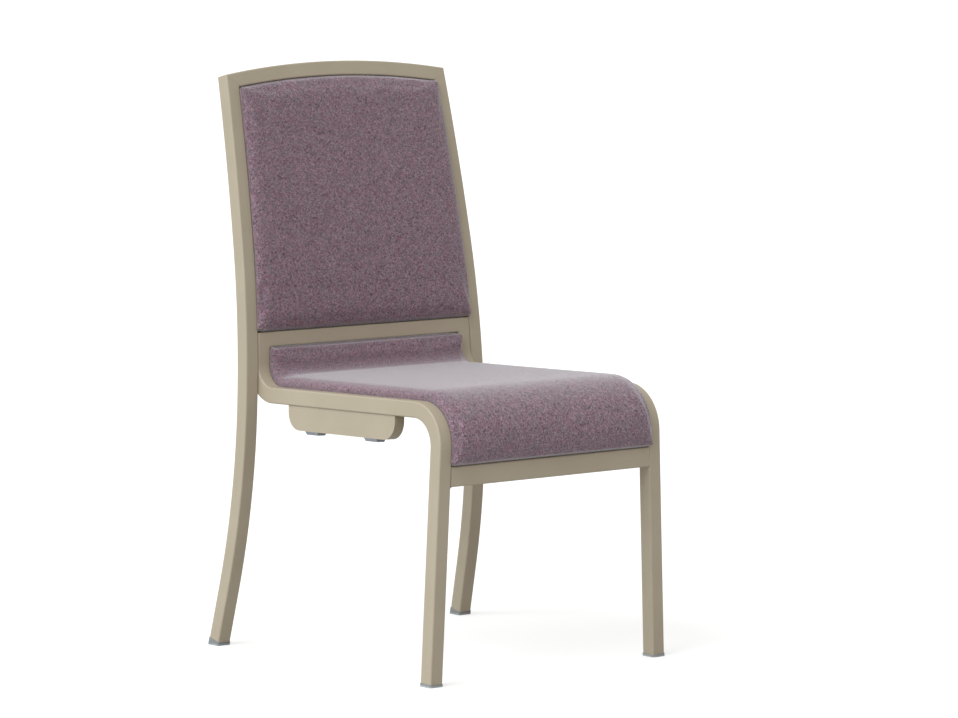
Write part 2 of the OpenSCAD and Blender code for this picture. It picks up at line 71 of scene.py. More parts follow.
def ramp(tree, fac, stops, smooth=False):
    """A colour ramp over stops of (place, grey or colour)."""
    node = put(tree, "ValToRGB", {"Fac": fac})
    node.color_ramp.interpolation = "EASE" if smooth else "LINEAR"
    elements = node.color_ramp.elements
    while len(elements) < len(stops):
        elements.new(0.5)
    for element, (place, tone) in zip(elements, stops):
        element.position = place
        element.color = (tone, tone, tone, 1) if isinstance(tone, float) else (*tone, 1)
    return node.outputs["Color"]


def maths(tree, operation, first, second):
    """One sum on two values or sockets."""
    return put(tree, "Math", {0: first, 1: second}, operation=operation).outputs[0]


def blend(tree, fac, first, second, mode="MIX"):
    """Two colours mixed. A Mix node keeps its colours at inputs 6 and 7 and at output 2."""
    return put(tree, "Mix", {0: fac, 6: first, 7: second}, data_type="RGBA", blend_type=mode).outputs[2]


def place_group(tree, group, place, values):
    """A group node placed in a material, its place wired and its named numbers and colours set."""
    node = tree.nodes.new("ShaderNodeGroup")
    node.node_tree = group
    tree.links.new(place, node.inputs["Place"])
    for label, value in values.items():
        node.inputs[label].default_value = (*value, 1) if isinstance(value, tuple) else value
    return node


# soft cloudy change of tone, and the fine orange peel of a sprayed or moulded skin
cloud, cloud_in, cloud_out = shader_group(
    "cloudy skin",
    [("Place", "Vector", None), ("Tone", "Color", (0.5, 0.5, 0.5, 1)),
     ("Other Tone", "Color", (0.4, 0.4, 0.4, 1)), ("Cloud Scale", "Float", 14.0),
     ("Peel Scale", "Float", 900.0), ("Gloss", "Float", 0.4), ("Gloss Spread", "Float", 0.08)],
    [("Color", "Color"), ("Roughness", "Float"), ("Height", "Float")])
clouds = put(cloud, "TexNoise", {"Vector": cloud_in.outputs["Place"], "Scale": cloud_in.outputs["Cloud Scale"],
                                 "Detail": 3.0, "Roughness": 0.55})
peel = put(cloud, "TexNoise", {"Vector": cloud_in.outputs["Place"], "Scale": cloud_in.outputs["Peel Scale"],
                               "Detail": 2.0})
cloud_mask = ramp(cloud, clouds.outputs["Fac"], [(0.34, 0.0), (0.66, 1.0)], smooth=True)
speck = ramp(cloud, peel.outputs["Fac"], [(0.25, 0.94), (0.75, 1.0)])
toned = blend(cloud, cloud_mask, cloud_in.outputs["Tone"], cloud_in.outputs["Other Tone"])
cloud.links.new(blend(cloud, 1.0, toned, speck, "MULTIPLY"), cloud_out.inputs["Color"])
spread = maths(cloud, "MULTIPLY", maths(cloud, "SUBTRACT", clouds.outputs["Fac"], 0.5),
               cloud_in.outputs["Gloss Spread"])
cloud.links.new(maths(cloud, "ADD", cloud_in.outputs["Gloss"], maths(cloud, "MULTIPLY", spread, 4.0)),
                cloud_out.inputs["Roughness"])
cloud.links.new(peel.outputs["Fac"], cloud_out.inputs["Height"])


def finish(name, viewport):
    """A new material with its node tree, its Principled shader and a Texture Coordinate node."""
    material = bpy.data.materials.new(name)
    material.use_nodes = True
    material.diffuse_color = (*viewport, 1)
    tree = material.node_tree
    return material, tree, tree.nodes["Principled BSDF"], put(tree, "TexCoord")


def cloudy(name, tone, other, gloss, spread, peel_scale, peel_depth, cloud_scale, specular=0.5, metal=0.0):
    """A skin finish: cloudy tone, fine peel and a roughness that follows the clouds."""
    material, tree, shader, place = finish(name, tone)
    skin = place_group(tree, cloud, place.outputs["Object"], {
        "Tone": tone, "Other Tone": other, "Cloud Scale": cloud_scale, "Peel Scale": peel_scale, "Gloss": gloss,
        "Gloss Spread": spread})
    bump = put(tree, "Bump", {"Height": skin.outputs["Height"], "Strength": 0.35, "Distance": peel_depth})
    tree.links.new(skin.outputs["Color"], shader.inputs["Base Color"])
    tree.links.new(skin.outputs["Roughness"], shader.inputs["Roughness"])
    tree.links.new(bump.outputs["Normal"], shader.inputs["Normal"])
    shader.inputs["Specular IOR Level"].default_value = specular
    shader.inputs["Metallic"].default_value = metal
    return material


champagne_coat = cloudy("champagne coat", (0.418, 0.353, 0.264), (0.396, 0.333, 0.246), gloss=0.42, spread=0.05,
                        peel_scale=1400.0, peel_depth=0.00006, cloud_scale=9.0, specular=0.45)


def dress(names, material):
    """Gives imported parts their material."""
    for name in names:
        node = nodes[name]
        node.data.materials.clear()
        node.data.materials.append(material)


dress(["post_left", "post_right", "side_rail_left", "side_rail_right", "crown_rail", "middle_rail",
       "front_rail", "front_rail_welds", "cross_bar_front", "cross_bar_rear", "stacking_bar_left",
       "stacking_bar_right", "back_tabs"], champagne_coat)


# ---- Foot glides and stacking bumpers ----
# Grey moulded nylon plugs pressed into the tube ends, their soles scuffed by the floor, and the softer
# grey rubber blocks under the stacking bars.

glide_nylon = cloudy("grey nylon", (0.20, 0.205, 0.215), (0.26, 0.265, 0.27), gloss=0.46, spread=0.10,
                     peel_scale=700.0, peel_depth=0.00008, cloud_scale=60.0)
bumper_rubber = cloudy("grey rubber", (0.23, 0.24, 0.26), (0.28, 0.29, 0.31), gloss=0.55, spread=0.08,
                       peel_scale=500.0, peel_depth=0.0001, cloud_scale=45.0, specular=0.35)
# soles rubbed pale by the floor; height is read in centimetres, so that it fits a ramp from 0 to 1
glide_tree = glide_nylon.node_tree
glide_place = put(glide_tree, "TexCoord").outputs["Object"]
height = put(glide_tree, "SeparateXYZ", {"Vector": glide_place}).outputs["Z"]
sole = maths(glide_tree, "MULTIPLY", height, 100.0)
rub = put(glide_tree, "TexNoise", {"Vector": glide_place, "Scale": 260.0, "Detail": 3.0}).outputs["Fac"]
rubbed = maths(glide_tree, "MULTIPLY", ramp(glide_tree, sole, [(0.12, 1.0), (0.38, 0.0)]),
               ramp(glide_tree, rub, [(0.35, 0.25), (0.60, 0.95)]))
nylon_shader = glide_tree.nodes["Principled BSDF"]
glide_tree.links.new(blend(glide_tree, rubbed, nylon_shader.inputs["Base Color"].links[0].from_socket,
                           (0.42, 0.43, 0.44, 1)), nylon_shader.inputs["Base Color"])
dress(["glide_front_left", "glide_front_right", "glide_rear_left", "glide_rear_right"], glide_nylon)
dress(["bumpers_left", "bumpers_right"], bumper_rubber)


# ---- Formed boards ----
# Seven millimetre birch plywood pressed to shape: one board rolls over the front of the seat, one
# curves with the back. The grain runs up the chair.

def birch(name):
    material, tree, shader, place = finish(name, (0.62, 0.47, 0.30))
    grain_place = put(tree, "Mapping", {"Vector": place.outputs["Object"], "Scale": (60.0, 2.2, 2.2)})
    grain = put(tree, "TexNoise", {"Vector": grain_place.outputs["Vector"], "Scale": 3.0, "Detail": 6.0,
                                   "Roughness": 0.6, "Distortion": 0.4})
    pores = put(tree, "TexNoise", {"Vector": grain_place.outputs["Vector"], "Scale": 28.0, "Detail": 3.0})
    wood = ramp(tree, grain.outputs["Fac"], [(0.25, (0.40, 0.27, 0.155)), (0.5, (0.58, 0.43, 0.27)),
                                            (0.78, (0.68, 0.54, 0.36))])
    dark = ramp(tree, pores.outputs["Fac"], [(0.30, 0.72), (0.45, 1.0)])
    tree.links.new(blend(tree, 1.0, wood, dark, "MULTIPLY"), shader.inputs["Base Color"])
    tree.links.new(ramp(tree, grain.outputs["Fac"], [(0.2, 0.68), (0.8, 0.52)]), shader.inputs["Roughness"])
    bump = put(tree, "Bump", {"Height": pores.outputs["Fac"], "Strength": 0.3, "Distance": 0.0002})
    tree.links.new(bump.outputs["Normal"], shader.inputs["Normal"])
    return material


dress(["seat_board", "back_board"], birch("formed birch"))


# ---- Screws and tee nuts ----
# Zinc plated pan head screws up through the cross bars and tabs, into tee nuts let into the boards.

zinc = cloudy("bright zinc", (0.62, 0.62, 0.61), (0.50, 0.51, 0.53), gloss=0.30, spread=0.12, peel_scale=900.0,
              peel_depth=0.00003, cloud_scale=120.0, metal=1.0)
dress(["seat_screws", "seat_nuts", "back_screws", "back_nuts"], zinc)


# ---- Upholstery cloth ----
# One flecked woven contract cloth, mauve with pale, plum, dusty red and slate yarns, pulled tight over
# foam. Its pattern is laid out flat, then goes with the cloth as each pad is formed.

weave, weave_in, weave_out = shader_group(
    "flecked weave",
    [("Place", "Vector", None), ("Fleck", "Float", 480.0), ("Thread", "Float", 1100.0),
     ("Ground", "Color", (0.3, 0.2, 0.25, 1)), ("Pale", "Color", (0.5, 0.4, 0.45, 1)),
     ("Deep", "Color", (0.1, 0.06, 0.08, 1)), ("Red", "Color", (0.3, 0.08, 0.1, 1)),
     ("Slate", "Color", (0.15, 0.18, 0.2, 1))],
    [("Color", "Color"), ("Height", "Float"), ("Roughness", "Float")])
sway = put(weave, "TexNoise", {"Vector": weave_in.outputs["Place"], "Scale": 260.0, "Detail": 1.0})
swayed = put(weave, "VectorMath", {0: sway.outputs["Color"], 1: (0.002, 0.002, 0.002)}, operation="MULTIPLY")
yarn_place = put(weave, "VectorMath", {0: weave_in.outputs["Place"], 1: swayed.outputs[0]}, operation="ADD")
# the crinkle: pale yarn winding over the face, with darker hollows on both sides of it
crinkle = put(weave, "TexNoise", {"Vector": yarn_place.outputs[0], "Scale": weave_in.outputs["Fleck"],
                                  "Detail": 1.0, "Roughness": 0.35, "Distortion": 0.5}).outputs["Fac"]
hollow = ramp(weave, crinkle, [(0.32, 1.0), (0.45, 0.0), (0.55, 0.0), (0.70, 0.7)])
yarn = ramp(weave, crinkle, [(0.44, 0.0), (0.49, 1.0), (0.51, 1.0), (0.56, 0.0)], smooth=True)
ground_mix = blend(weave, hollow, weave_in.outputs["Ground"], weave_in.outputs["Deep"])
pale_mix = blend(weave, yarn, ground_mix, weave_in.outputs["Pale"])
# coloured yarns that come to the face here and there, one pick at a time
fleck = put(weave, "TexVoronoi", {"Vector": yarn_place.outputs[0], "Scale": 420.0, "Randomness": 0.9},
            feature="F1")
pick = put(weave, "SeparateColor", {"Color": fleck.outputs["Color"]})
patches = put(weave, "TexNoise", {"Vector": weave_in.outputs["Place"], "Scale": 75.0, "Detail": 3.0})
red_mask = maths(weave, "MULTIPLY", ramp(weave, pick.outputs["Green"], [(0.62, 0.0), (0.85, 1.0)]),
                 ramp(weave, patches.outputs["Fac"], [(0.46, 0.08), (0.66, 0.60)]))
red_mix = blend(weave, red_mask, pale_mix, weave_in.outputs["Red"])
slate_mask = maths(weave, "MULTIPLY", ramp(weave, pick.outputs["Blue"], [(0.50, 0.0), (0.75, 1.0)]),
                   ramp(weave, patches.outputs["Fac"], [(0.36, 0.50), (0.52, 0.05)]))
slate_mix = blend(weave, slate_mask, red_mix, weave_in.outputs["Slate"])
warp = put(weave, "TexWave", {"Vector": yarn_place.outputs[0], "Scale": weave_in.outputs["Thread"],
                              "Distortion": 1.5, "Detail": 1.0}, wave_type="BANDS", bands_direction="X")
weft = put(weave, "TexWave", {"Vector": yarn_place.outputs[0], "Scale": weave_in.outputs["Thread"],
                              "Distortion": 1.5, "Detail": 1.0}, wave_type="BANDS", bands_direction="Y")
threads = maths(weave, "MAXIMUM", warp.outputs["Fac"], weft.outputs["Fac"])
shade = ramp(weave, threads, [(0.1, 0.80), (0.9, 1.0)])
weave.links.new(blend(weave, 1.0, slate_mix, shade, "MULTIPLY"), weave_out.inputs["Color"])
mound = maths(weave, "SUBTRACT", maths(weave, "MULTIPLY", yarn, 0.6), maths(weave, "MULTIPLY", hollow, 0.3))
weave.links.new(maths(weave, "ADD", mound, maths(weave, "MULTIPLY", threads, 0.3)), weave_out.inputs["Height"])
weave.links.new(ramp(weave, pick.outputs["Red"], [(0.0, 0.72), (1.0, 0.56)]), weave_out.inputs["Roughness"])


def flecked_cloth(name, ground, pale, deep, red, slate, fleck_scale):
    """The cloth as a material that reads the flat lay of the pattern from each pad's own cloth attribute."""
    material, tree, shader, _ = finish(name, ground)
    lay = put(tree, "Attribute", attribute_name="cloth")
    cloth = place_group(tree, weave, lay.outputs["Vector"], {
        "Fleck": fleck_scale, "Ground": ground, "Pale": pale, "Deep": deep, "Red": red, "Slate": slate})
    bump = put(tree, "Bump", {"Height": cloth.outputs["Height"], "Strength": 0.40, "Distance": 0.0005})
    # painted shade: the cloth's colour is darkened to about a third in its joints with the cross rails, in
    # place of real shade there
    painted_shade = put(tree, "Attribute", attribute_name="painted_shade").outputs["Fac"]
    painted_shade_tone = ramp(tree, painted_shade, [(0.0, 1.0), (1.0, 0.32)], smooth=True)
    shaded_cloth = blend(tree, 1.0, cloth.outputs["Color"], painted_shade_tone, "MULTIPLY")
    tree.links.new(shaded_cloth, shader.inputs["Base Color"])
    tree.links.new(cloth.outputs["Roughness"], shader.inputs["Roughness"])
    tree.links.new(bump.outputs["Normal"], shader.inputs["Normal"])
    shader.inputs["Specular IOR Level"].default_value = 0.5
    shader.inputs["Sheen Weight"].default_value = 0.88
    shader.inputs["Sheen Roughness"].default_value = 0.40
    shader.inputs["Sheen Tint"].default_value = (0.97, 0.97, 1.0, 1)
    return material


mauve_cloth = flecked_cloth(
    "mauve flecked cloth", ground=(0.194, 0.112, 0.146), pale=(0.342, 0.228, 0.275), deep=(0.074, 0.041, 0.057),
    red=(0.225, 0.066, 0.098), slate=(0.122, 0.128, 0.144), fleck_scale=320.0)


# ---- Seat pad ----
# Foam and cloth over the seat board, in one piece from the front rail up over the knee, back along the
# seat and up the rear bend to the middle rail. It is made flat, swelled, then formed to the rail's route.

lean = radians(2.45)                  # inward lean of both side frames
cad_middle = 0.260354                 # middle of the chair's depth, behind the front foot


def route_point(route, start, run, off):
    """The place at a run along a bent route and a distance off its upper or front face."""
    y, z, heading = start[0], start[1], radians(start[2])
    for i, (length, radius, turn) in enumerate(route):
        whole = length if radius == 0 else radius * abs(radians(turn))
        part = run if i == len(route) - 1 else min(run, whole)
        if radius == 0:
            y, z = y + part * sin(heading), z + part * cos(heading)
        else:
            way = 1 if turn > 0 else -1
            after = heading + way * part / radius
            y += way * radius * (cos(heading) - cos(after))
            z += way * radius * (sin(after) - sin(heading))
            heading = after
        run -= part
        if run <= 0:
            break
    return y - off * cos(heading) - cad_middle, (z + off * sin(heading)) * cos(lean)


def form(mesh, route, start, flat_half, floor_half, painted_shade_at=None):
    """Bends a flat piece (x across, y along the route, z off it) to its route, between the leaning frames.
    Its cloth attribute keeps where each point lay when it was flat, and its second attribute holds a painted
    shade: how far into the joint with a cross rail the point lies, where the cloth's colour is darkened in
    place of real shade."""
    # both are made before either is looked up, as making one moves the other
    for name, kind in (("cloth", "FLOAT_VECTOR"), ("painted_shade", "FLOAT")):
        mesh.attributes.new(name, kind, "POINT")
    lay, painted_shade = mesh.attributes["cloth"].data, mesh.attributes["painted_shade"].data
    for index, vertex in enumerate(mesh.vertices):
        flat = vertex.co.copy()
        lay[index].vector = flat
        # painted shade: how much the cloth's colour is darkened near a cross rail
        painted_shade[index].value = painted_shade_at(flat) if painted_shade_at else 0.0
        y, z = route_point(route, start, flat.y, flat.z)
        vertex.co = (flat.x * (floor_half - z * tan(lean)) / flat_half, y, z)
    mesh.update()


def keep(name, bm):
    """A closed bmesh made an object, with its faces turned outwards and shaded smooth."""
    bmesh.ops.recalc_face_normals(bm, faces=bm.faces)
    mesh = bpy.data.meshes.new(name)
    bm.to_mesh(mesh)
    bm.free()
    mesh.shade_smooth()
    piece = bpy.data.objects.new(name, mesh)
    bpy.context.scene.collection.objects.link(piece)
    return piece


def settle(piece):
    """Applies the modifiers on a piece."""
    bpy.context.view_layer.update()
    shaped = piece.evaluated_get(bpy.context.evaluated_depsgraph_get())
    mesh = bpy.data.meshes.new_from_object(shaped, preserve_all_data_layers=True,
                                           depsgraph=bpy.context.evaluated_depsgraph_get())
    old = piece.data
    piece.modifiers.clear()
    piece.data = mesh
    bpy.data.meshes.remove(old)
    mesh.name = piece.name
    mesh.shade_smooth()


def round_edges(bm, edges, radius, steps):
    """Rounds some edges of a block to a radius."""
    bmesh.ops.bevel(bm, geom=edges, affect="EDGES", offset=radius, segments=steps, profile=0.5, material=-1)


def upright_edges(bm):
    """The corner edges of a flat block, which stand across its thickness."""
    return [e for e in bm.edges if abs(e.verts[0].co.z - e.verts[1].co.z) > 0.01]


def upper_edges(bm):
    """The edges round the upper face of a flat block."""
    return [e for e in bm.edges if all(v.co.z > rail_face for v in e.verts)]


def remesh(piece, voxel):
    """Gives a block an even skin that can swell and bend."""
    modifier = piece.modifiers.new("even skin", "REMESH")
    modifier.mode = "VOXEL"
    modifier.voxel_size = voxel
    modifier.adaptivity = 0.0
    settle(piece)


def swell(piece, held, pressure, cap):
    """Blows the loose skin of a pad up as cloth. Points that held() picks stay, and none moves past cap."""
    rest = [v.co.copy() for v in piece.data.vertices]
    pinned = piece.vertex_groups.new(name="held")
    pinned.add([i for i, co in enumerate(rest) if held(co)], 1.0, "REPLACE")
    cloth = piece.modifiers.new("swell", "CLOTH")
    cloth.settings.use_pressure = True
    cloth.settings.uniform_pressure_force = pressure
    cloth.settings.vertex_group_mass = "held"
    cloth.settings.quality = 4
    cloth.settings.mass = 0.4
    cloth.settings.tension_stiffness = 18
    cloth.settings.compression_stiffness = 18
    cloth.settings.shear_stiffness = 8
    cloth.settings.bending_stiffness = 0.6
    cloth.settings.effector_weights.gravity = 0
    cloth.collision_settings.use_collision = False
    cloth.point_cache.frame_start = 1
    cloth.point_cache.frame_end = 24
    for step in range(1, swell_steps + 1):
        bpy.context.scene.frame_set(step)
    settle(piece)
    for vertex, before in zip(piece.data.vertices, rest):
        move = vertex.co - before
        if move.length > cap:
            vertex.co = before + move * (cap / move.length)
    bpy.context.scene.frame_set(1)
    piece.vertex_groups.clear()


def rise(distance, width):
    """Height of a rounded pad edge, from 0 at the edge to 1 a width in."""
    near = min(max(distance / width, 0.0), 1.0)
    return sqrt(max(0.0, 1.0 - (1.0 - near) ** 2))


def belly(co, half):
    """Pushes the sides of a pad out over the frame, above the face of the tube."""
    if co.z > rail_face:
        near_side = max(0.0, 1.0 - (half - abs(co.x)) / belly_width)
        co.x += (1 if co.x > 0 else -1) * overhang * near_side * min((co.z - rail_face) / belly_height, 1.0)


def plump(pad, half, crown, edges):
    """Bellies the sides of a pad and crowns its face. edges() gives, for each edge, the distance in from it
    and the width over which the crown rises."""
    for vertex in pad.data.vertices:
        co = vertex.co
        belly(co, half)
        if co.z > rail_face + crown_from:
            lift = crown
            for distance, width in edges(co):
                lift *= rise(distance, width)
            co.z += lift


def painted_joint_shade(distance):
    """The painted shade on cloth by its joint with a cross rail, from 1, darkest, in the joint to 0 clear of
    it.
    """
    return 1.0 - min(max(distance / painted_shade_width, 0.0), 1.0)


def under_cover(co):
    """Picks the points of a pad that the board and the frame hold still."""
    return co.z < rail_face + 0.0004


def finish_pad(pad):
    """Rounds a formed pad once more and gives it its cloth."""
    rounder = pad.modifiers.new("rounder", "SUBSURF")
    rounder.levels = rounder.render_levels = 1
    pad.data.materials.append(mauve_cloth)


# one step of the route is a length, or the radius and turn of a bend; the rail starts at the front foot
rail_route = [(0.35966, 0, 0), (0, 0.054, 92.4), (0.359878, 0, 0), (0, 0.047, -89.4458), (0.0604464, 0, 0)]
rail_start = (0.0, 0.0, -0.8)
seat_from, seat_to = 0.33205, 0.90495     # run along the rail's centre line
seat_half = 0.1910                        # half width where the pad is cut, at about rail height
seat_floor_half = 0.256 - 0.0472 / cos(lean)   # the inner side of the rails, carried down to the floor
rail_face = 0.0118                        # where the pad leaves the cover of the rails
overhang = 0.0050                         # how far the cloth bellies over the frame at the sides of a pad
belly_width = 0.02                        # how far in from the side the belly starts
belly_height = 0.003                      # and over what height it comes out
crown_from = 0.004                        # height above the rail face of the part that is crowned
painted_shade_width = 0.0035                      # width of the painted shade on cloth along its joint with a cross rail
pad_voxel = 0.0042
pad_pressure = 4.0
swell_steps = 20
seat_swell = 0.0030                       # the furthest the seat may swell
seat_height = 0.0256                      # of the swelled seat off the rail's centre line, short of its crown
seat_rise = seat_height - rail_face - seat_swell
seat_foot = 0.001                         # underside of the seat pad's block

bm = bmesh.new()
bmesh.ops.create_cube(bm, size=1.0)
bmesh.ops.scale(bm, verts=bm.verts, vec=(2 * seat_half, seat_to - seat_from, rail_face + seat_rise - seat_foot))
bmesh.ops.translate(bm, verts=bm.verts,
                    vec=(0, (seat_from + seat_to) / 2, (rail_face + seat_rise + seat_foot) / 2))
round_edges(bm, upright_edges(bm), radius=0.004, steps=4)
round_edges(bm, upper_edges(bm), radius=0.0048, steps=5)
seat_pad = keep("seat_pad", bm)
remesh(seat_pad, pad_voxel)
plump(seat_pad, seat_half, crown=0.0022, edges=lambda co: (
    (seat_half - abs(co.x), 0.07), (co.y - seat_from, 0.05), (seat_to - co.y, 0.03)))
swell(seat_pad, under_cover, pad_pressure, seat_swell)
# the seat cloth gets a painted shade by the front rail and by the middle rail
form(seat_pad.data, rail_route, rail_start, seat_half, seat_floor_half,
     painted_shade_at=lambda flat: painted_joint_shade(min(flat.y - seat_from, seat_to - flat.y)))
finish_pad(seat_pad)
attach(seat_pad, "root")
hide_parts("seat_cover", "seat_foam")


# ---- Welds under the seat ----
# Rippled aluminium fillets, coated with the frame: round the ends of both cross bars, and three stitches
# along the inner side of each stacking bar.

def weld_bead(bm, start, end, thick):
    """A closed bead laid from one point to another, thicker and thinner as the torch was dabbed along."""
    along = (end - start).normalized()
    ripple = thick * 0.28
    steps = round((end - start).length / ripple)
    facing = Matrix.Translation(start) @ along.to_track_quat("Z", "X").to_matrix().to_4x4()
    ring = bmesh.ops.create_circle(bm, cap_ends=True, segments=8, radius=thick / 2 * tail, matrix=facing)
    face = ring["verts"][0].link_faces[0]
    size = tail
    for i in range(steps):
        grown = bmesh.ops.extrude_face_region(bm, geom=[face])
        if i:
            bmesh.ops.delete(bm, geom=[face], context="FACES_ONLY")
        face = next(g for g in grown["geom"] if isinstance(g, bmesh.types.BMFace))
        after = tail if i == steps - 1 else dabs[i % len(dabs)]
        middle = start + along * (i * ripple)
        bmesh.ops.scale(bm, verts=face.verts, vec=Vector((1, 1, 1)) * (after / size),
                        space=Matrix.Translation(-middle))
        bmesh.ops.translate(bm, verts=face.verts, vec=along * ripple)
        size = after


tail, dabs = 0.6, (1.0, 0.93, 0.84)       # size of a bead at its two ends, and as it is dabbed along
bead = 0.0034                             # thickness of a bead
cross_bar_at = (0.518745, 0.734623)       # run of each cross bar's middle
bar_half = 0.0150                         # half width of a cross bar
bar_under, bar_over = -0.0125, -0.0030    # where the beads on a cross bar's sides start, and how high they run
stack_from, stack_to = 0.494745, 0.763745
stack_side = 0.19395                      # inner side of a stacking bar
stitch_half, stitch_inset = 0.013, 0.022  # half length of a stitch, and how far in the outer ones lie
inner_side = seat_half - 0.0004           # just off the inner side of the side rails
bm = bmesh.new()
for side in (-1, 1):
    toe = side * inner_side
    for at in cross_bar_at:
        weld_bead(bm, Vector((toe, at - bar_half, bar_under)), Vector((toe, at + bar_half, bar_under)), bead)
        for edge in (at - bar_half, at + bar_half):
            weld_bead(bm, Vector((toe, edge, bar_under)), Vector((toe, edge, bar_over)), bead)
    for at in (stack_from + stitch_inset, (stack_from + stack_to) / 2, stack_to - stitch_inset):
        weld_bead(bm, Vector((side * stack_side, at - stitch_half, bar_under)),
                  Vector((side * stack_side, at + stitch_half, bar_under)), bead)
seat_welds = keep("seat_frame_welds", bm)
form(seat_welds.data, rail_route, rail_start, seat_half, seat_floor_half)
seat_welds.data.materials.append(champagne_coat)
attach(seat_welds, "root")


# ---- Seat hem and staples ----
# The seat cloth is turned under the board and stapled down all round, in a hem that stops short of the
# cross bars. The staples are zinc wire, one about every thirty millimetres.

def lift_faces(bm, faces, height):
    """Extrudes faces straight off the flat, by a height or a depth."""
    grown = bmesh.ops.extrude_face_region(bm, geom=faces)
    lifted = [g for g in grown["geom"] if isinstance(g, bmesh.types.BMVert)]
    bmesh.ops.translate(bm, verts=lifted, vec=(0, 0, height))


hem_width = 0.018
hem_lip = 0.001                           # how far the hem stays in from the ends of the board
hem_clear = 0.002                         # gap between the hem and a cross bar
hem_under, hem_over = -0.0016, -0.00055   # its two faces, under the board
staple = (0.0110, 0.0012, 0.0007)         # length, width and thickness of a staple's back
staple_gap = 0.030
hem_mesh = (0.006, 0.004)                 # spacing of the hem's mesh across and along the chair
# across the front and the back, then along both sides between the cross bars: x from and to, y from and to
hem_runs = [(-inner_side, inner_side, seat_from + hem_lip, seat_from + hem_width),
            (-inner_side, inner_side, seat_to - hem_width, seat_to - hem_lip)]
stops = [seat_from + hem_width]
for at in cross_bar_at:
    stops += [at - bar_half - hem_clear, at + bar_half + hem_clear]
stops.append(seat_to - hem_width)
for low, high in zip(stops[::2], stops[1::2]):
    hem_runs += [(-inner_side, hem_width - inner_side, low, high),
                 (inner_side - hem_width, inner_side, low, high)]
hem, wires = bmesh.new(), bmesh.new()
for x0, x1, y0, y1 in hem_runs:
    strip = bmesh.ops.create_grid(hem, x_segments=max(2, round((x1 - x0) / hem_mesh[0])),
                                  y_segments=max(2, round((y1 - y0) / hem_mesh[1])), size=0.5)["verts"]
    bmesh.ops.scale(hem, verts=strip, vec=(x1 - x0, y1 - y0, 1))
    bmesh.ops.translate(hem, verts=strip, vec=((x0 + x1) / 2, (y0 + y1) / 2, hem_over))
    across = x1 - x0 > y1 - y0
    length = max(x1 - x0, y1 - y0)
    count = max(1, round(length / staple_gap))
    for i in range(count):
        along = (i + 0.5) * length / count
        spot = (x0 + along, (y0 + y1) / 2) if across else ((x0 + x1) / 2, y0 + along)
        # each staple sits a little askew of its neighbours
        turn = (0 if across else radians(90)) + 0.12 * sin(7.0 * i + x0)
        wire = bmesh.ops.create_cube(wires, size=1.0)["verts"]
        bmesh.ops.scale(wires, verts=wire, vec=staple)
        bmesh.ops.rotate(wires, verts=wire, matrix=Matrix.Rotation(turn, 3, "Z"))
        bmesh.ops.translate(wires, verts=wire, vec=(*spot, hem_under - 0.0001))
lift_faces(hem, hem.faces[:], hem_under - hem_over)
round_edges(wires, wires.edges[:], radius=0.00025, steps=2)
for name, made, material, slot in (("seat_hem", hem, mauve_cloth, "upholstery"),
                                   ("seat_staples", wires, zinc, "zinc_steel")):
    piece = keep(name, made)
    form(piece.data, rail_route, rail_start, seat_half, seat_floor_half)
    piece.data.materials.append(material)
    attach(piece, "root")


# ---- Back pad ----
# Foam and cloth over the back board, let in between the posts under the curved crown rail. It is made as
# the seat is, with a flatter crown and rounded corners.

post_route = [(0.0948165, 0, 0), (0, 1.160, 14), (0, 1.515, 9.7), (0, 3.990, 4.29696)]
post_start = (0.513, 0.0, -14.0)
back_from = 0.50420                       # run of the pad's foot, at the middle rail
back_floor_half = 0.256 - 0.0237 / cos(lean)   # the inner side of the posts, carried down to the floor
back_half = back_floor_half - 0.880 * tan(lean)
crown_middle = 0.910477 - 1.38276         # centre of the crown's curve, as a run along the post
crown_reach = 1.37606
back_swell = 0.0032                       # the furthest the back may swell
back_height = 0.0240                      # of the swelled back off the post's centre line, short of its crown
back_rise = back_height - rail_face - back_swell


def back_outline(inset=0.0):
    """The outline of the back: a slice off a wide disc, cut square at the foot and at both sides."""
    bm = bmesh.new()
    bmesh.ops.create_circle(bm, cap_ends=True, segments=900, radius=crown_reach - inset)
    bmesh.ops.translate(bm, verts=bm.verts, vec=(0, crown_middle, 0))
    cuts = (((0, back_from + inset, 0), (0, -1, 0)), ((back_half - inset, 0, 0), (1, 0, 0)),
            ((inset - back_half, 0, 0), (-1, 0, 0)))
    for point, outward in cuts:
        bmesh.ops.bisect_plane(bm, geom=bm.verts[:] + bm.edges[:] + bm.faces[:], plane_co=point,
                               plane_no=outward, clear_outer=True)
    return bm


def raise_face(bm, low, high):
    """Turns a flat outline into a closed block between two heights."""
    bmesh.ops.translate(bm, verts=bm.verts, vec=(0, 0, low))
    lift_faces(bm, bm.faces[:], high - low)


def below_crown(co):
    """How far a flat point lies in from the curve under the crown rail."""
    return crown_reach - sqrt(co.x ** 2 + (co.y - crown_middle) ** 2)


bm = back_outline()
raise_face(bm, 0.003, rail_face + back_rise)
corners = [e for e in upright_edges(bm) if abs(abs(e.verts[0].co.x) - back_half) < 0.0002]
round_edges(bm, corners, radius=0.006, steps=5)
round_edges(bm, upper_edges(bm), radius=0.0052, steps=5)
back_pad = keep("back_pad", bm)
remesh(back_pad, pad_voxel)
plump(back_pad, back_half, crown=0.0015, edges=lambda co: (
    (back_half - abs(co.x), 0.07), (co.y - back_from, 0.06), (below_crown(co), 0.05)))
swell(back_pad, under_cover, pad_pressure, back_swell)
# the back cloth gets a painted shade by the middle rail and under the crown rail
form(back_pad.data, post_route, post_start, back_half, back_floor_half,
     painted_shade_at=lambda flat: painted_joint_shade(min(flat.y - back_from, below_crown(flat))))
finish_pad(back_pad)
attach(back_pad, "root")
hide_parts("back_cover", "back_foam")


# ---- Rear panel ----
# The panel that closes the back from behind: a shallow tray, wrapped in the same cloth, clipped over the
# tabs between the posts.

